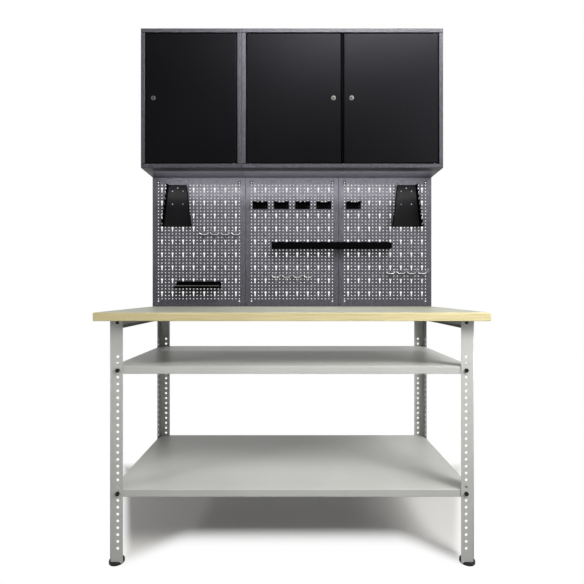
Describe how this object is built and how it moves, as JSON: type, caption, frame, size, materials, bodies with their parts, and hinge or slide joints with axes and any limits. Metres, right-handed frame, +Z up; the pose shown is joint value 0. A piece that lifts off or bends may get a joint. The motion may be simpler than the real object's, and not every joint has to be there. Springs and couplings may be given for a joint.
{
  "type": "workbench with tool wall and wall cabinets",
  "caption": "Steel workbench with open shelves on punched angle legs, a perforated tool wall with holders and hooks, and lockable wall cabinets with pivot-hung doors above.",
  "frame": {"origin": "on the floor under the middle of the worktop", "axes": "+Z up, +Y from the user towards the wall, +X to the user's right"},
  "size_m": [1.3, 0.6, 2.0869],
  "materials": {
    "worktop": "satin laminate with a bare light edge",
    "bench_paint": "satin light grey",
    "foot_plastic": "matte black",
    "hammer_paint": "hammered dark grey",
    "door_paint": "fine textured black",
    "black_steel": "satin black",
    "zinc": "bright zinc",
    "lock_steel": "polished nickel"
  },
  "bodies": {
    "bench": {"worktop": "worktop", "leg_front_left": "bench_paint", "leg_front_right": "bench_paint", "leg_rear_left": "bench_paint", "leg_rear_right": "bench_paint", "foot_front_left": "foot_plastic", "foot_front_right": "foot_plastic", "foot_rear_left": "foot_plastic", "foot_rear_right": "foot_plastic", "top_rail_left": "bench_paint", "top_rail_right": "bench_paint", "shelf_middle": "bench_paint", "shelf_lower": "bench_paint", "panel_left": "hammer_paint", "panel_middle": "hammer_paint", "panel_right": "hammer_paint", "wrench_rack_left": "black_steel", "wrench_rack_right": "black_steel", "tool_holder_1": "black_steel", "tool_holder_2": "black_steel", "tool_holder_3": "black_steel", "tool_holder_4": "black_steel", "tool_holder_5": "black_steel", "tool_rail_left": "black_steel", "tool_rail_right": "black_steel", "tool_tray": "black_steel", "wire_hook_01": "zinc", "wire_hook_02": "zinc", "wire_hook_03": "zinc", "wire_hook_04": "zinc", "wire_hook_05": "zinc", "wire_hook_06": "zinc", "wire_hook_07": "zinc", "wire_hook_08": "zinc", "wire_hook_09": "zinc", "wire_hook_10": "zinc", "wire_hook_11": "zinc", "wire_hook_12": "zinc", "single_carcass": "hammer_paint", "single_back": "hammer_paint", "single_shelf": "hammer_paint", "single_strike": "hammer_paint", "single_lug_left": "black_steel", "single_lug_right": "black_steel", "double_carcass": "hammer_paint", "double_back": "hammer_paint", "double_shelf": "hammer_paint", "double_post": "door_paint", "double_lug_left": "black_steel", "double_lug_right": "black_steel"},
    "door_single": {"single_door": "door_paint", "single_lock_barrel": "lock_steel"},
    "cam_single": {"single_lock_cam": "lock_steel"},
    "door_double_left": {"double_door_left": "door_paint", "double_lock_barrel_left": "lock_steel"},
    "cam_double_left": {"double_lock_cam_left": "lock_steel"},
    "door_double_right": {"double_door_right": "door_paint", "double_lock_barrel_right": "lock_steel"},
    "cam_double_right": {"double_lock_cam_right": "lock_steel"}
  },
  "joints": [
    {"name": "door_single_hinge", "type": "hinge", "parent": "bench", "child": "door_single", "pos_m": [-0.251, 0.139, 1.7506], "axis": [0, 0, 1], "range_deg": [0, 90]},
    {"name": "cam_single_turn", "type": "hinge", "parent": "door_single", "child": "cam_single", "pos_m": [-0.596, 0.131, 1.7506], "axis": [0, 1, 0], "range_deg": [0, 90]},
    {"name": "door_double_left_hinge", "type": "hinge", "parent": "bench", "child": "door_double_left", "pos_m": [-0.1825, 0.139, 1.7506], "axis": [0, 0, -1], "range_deg": [0, 90]},
    {"name": "cam_double_left_turn", "type": "hinge", "parent": "door_double_left", "child": "cam_double_left", "pos_m": [0.17775, 0.131, 1.7506], "axis": [0, -1, 0], "range_deg": [0, 90]},
    {"name": "door_double_right_hinge", "type": "hinge", "parent": "bench", "child": "door_double_right", "pos_m": [0.616, 0.139, 1.7506], "axis": [0, 0, 1], "range_deg": [0, 110]},
    {"name": "cam_double_right_turn", "type": "hinge", "parent": "door_double_right", "child": "cam_double_right", "pos_m": [0.25575, 0.131, 1.7506], "axis": [0, 1, 0], "range_deg": [0, 90]}
  ]
}
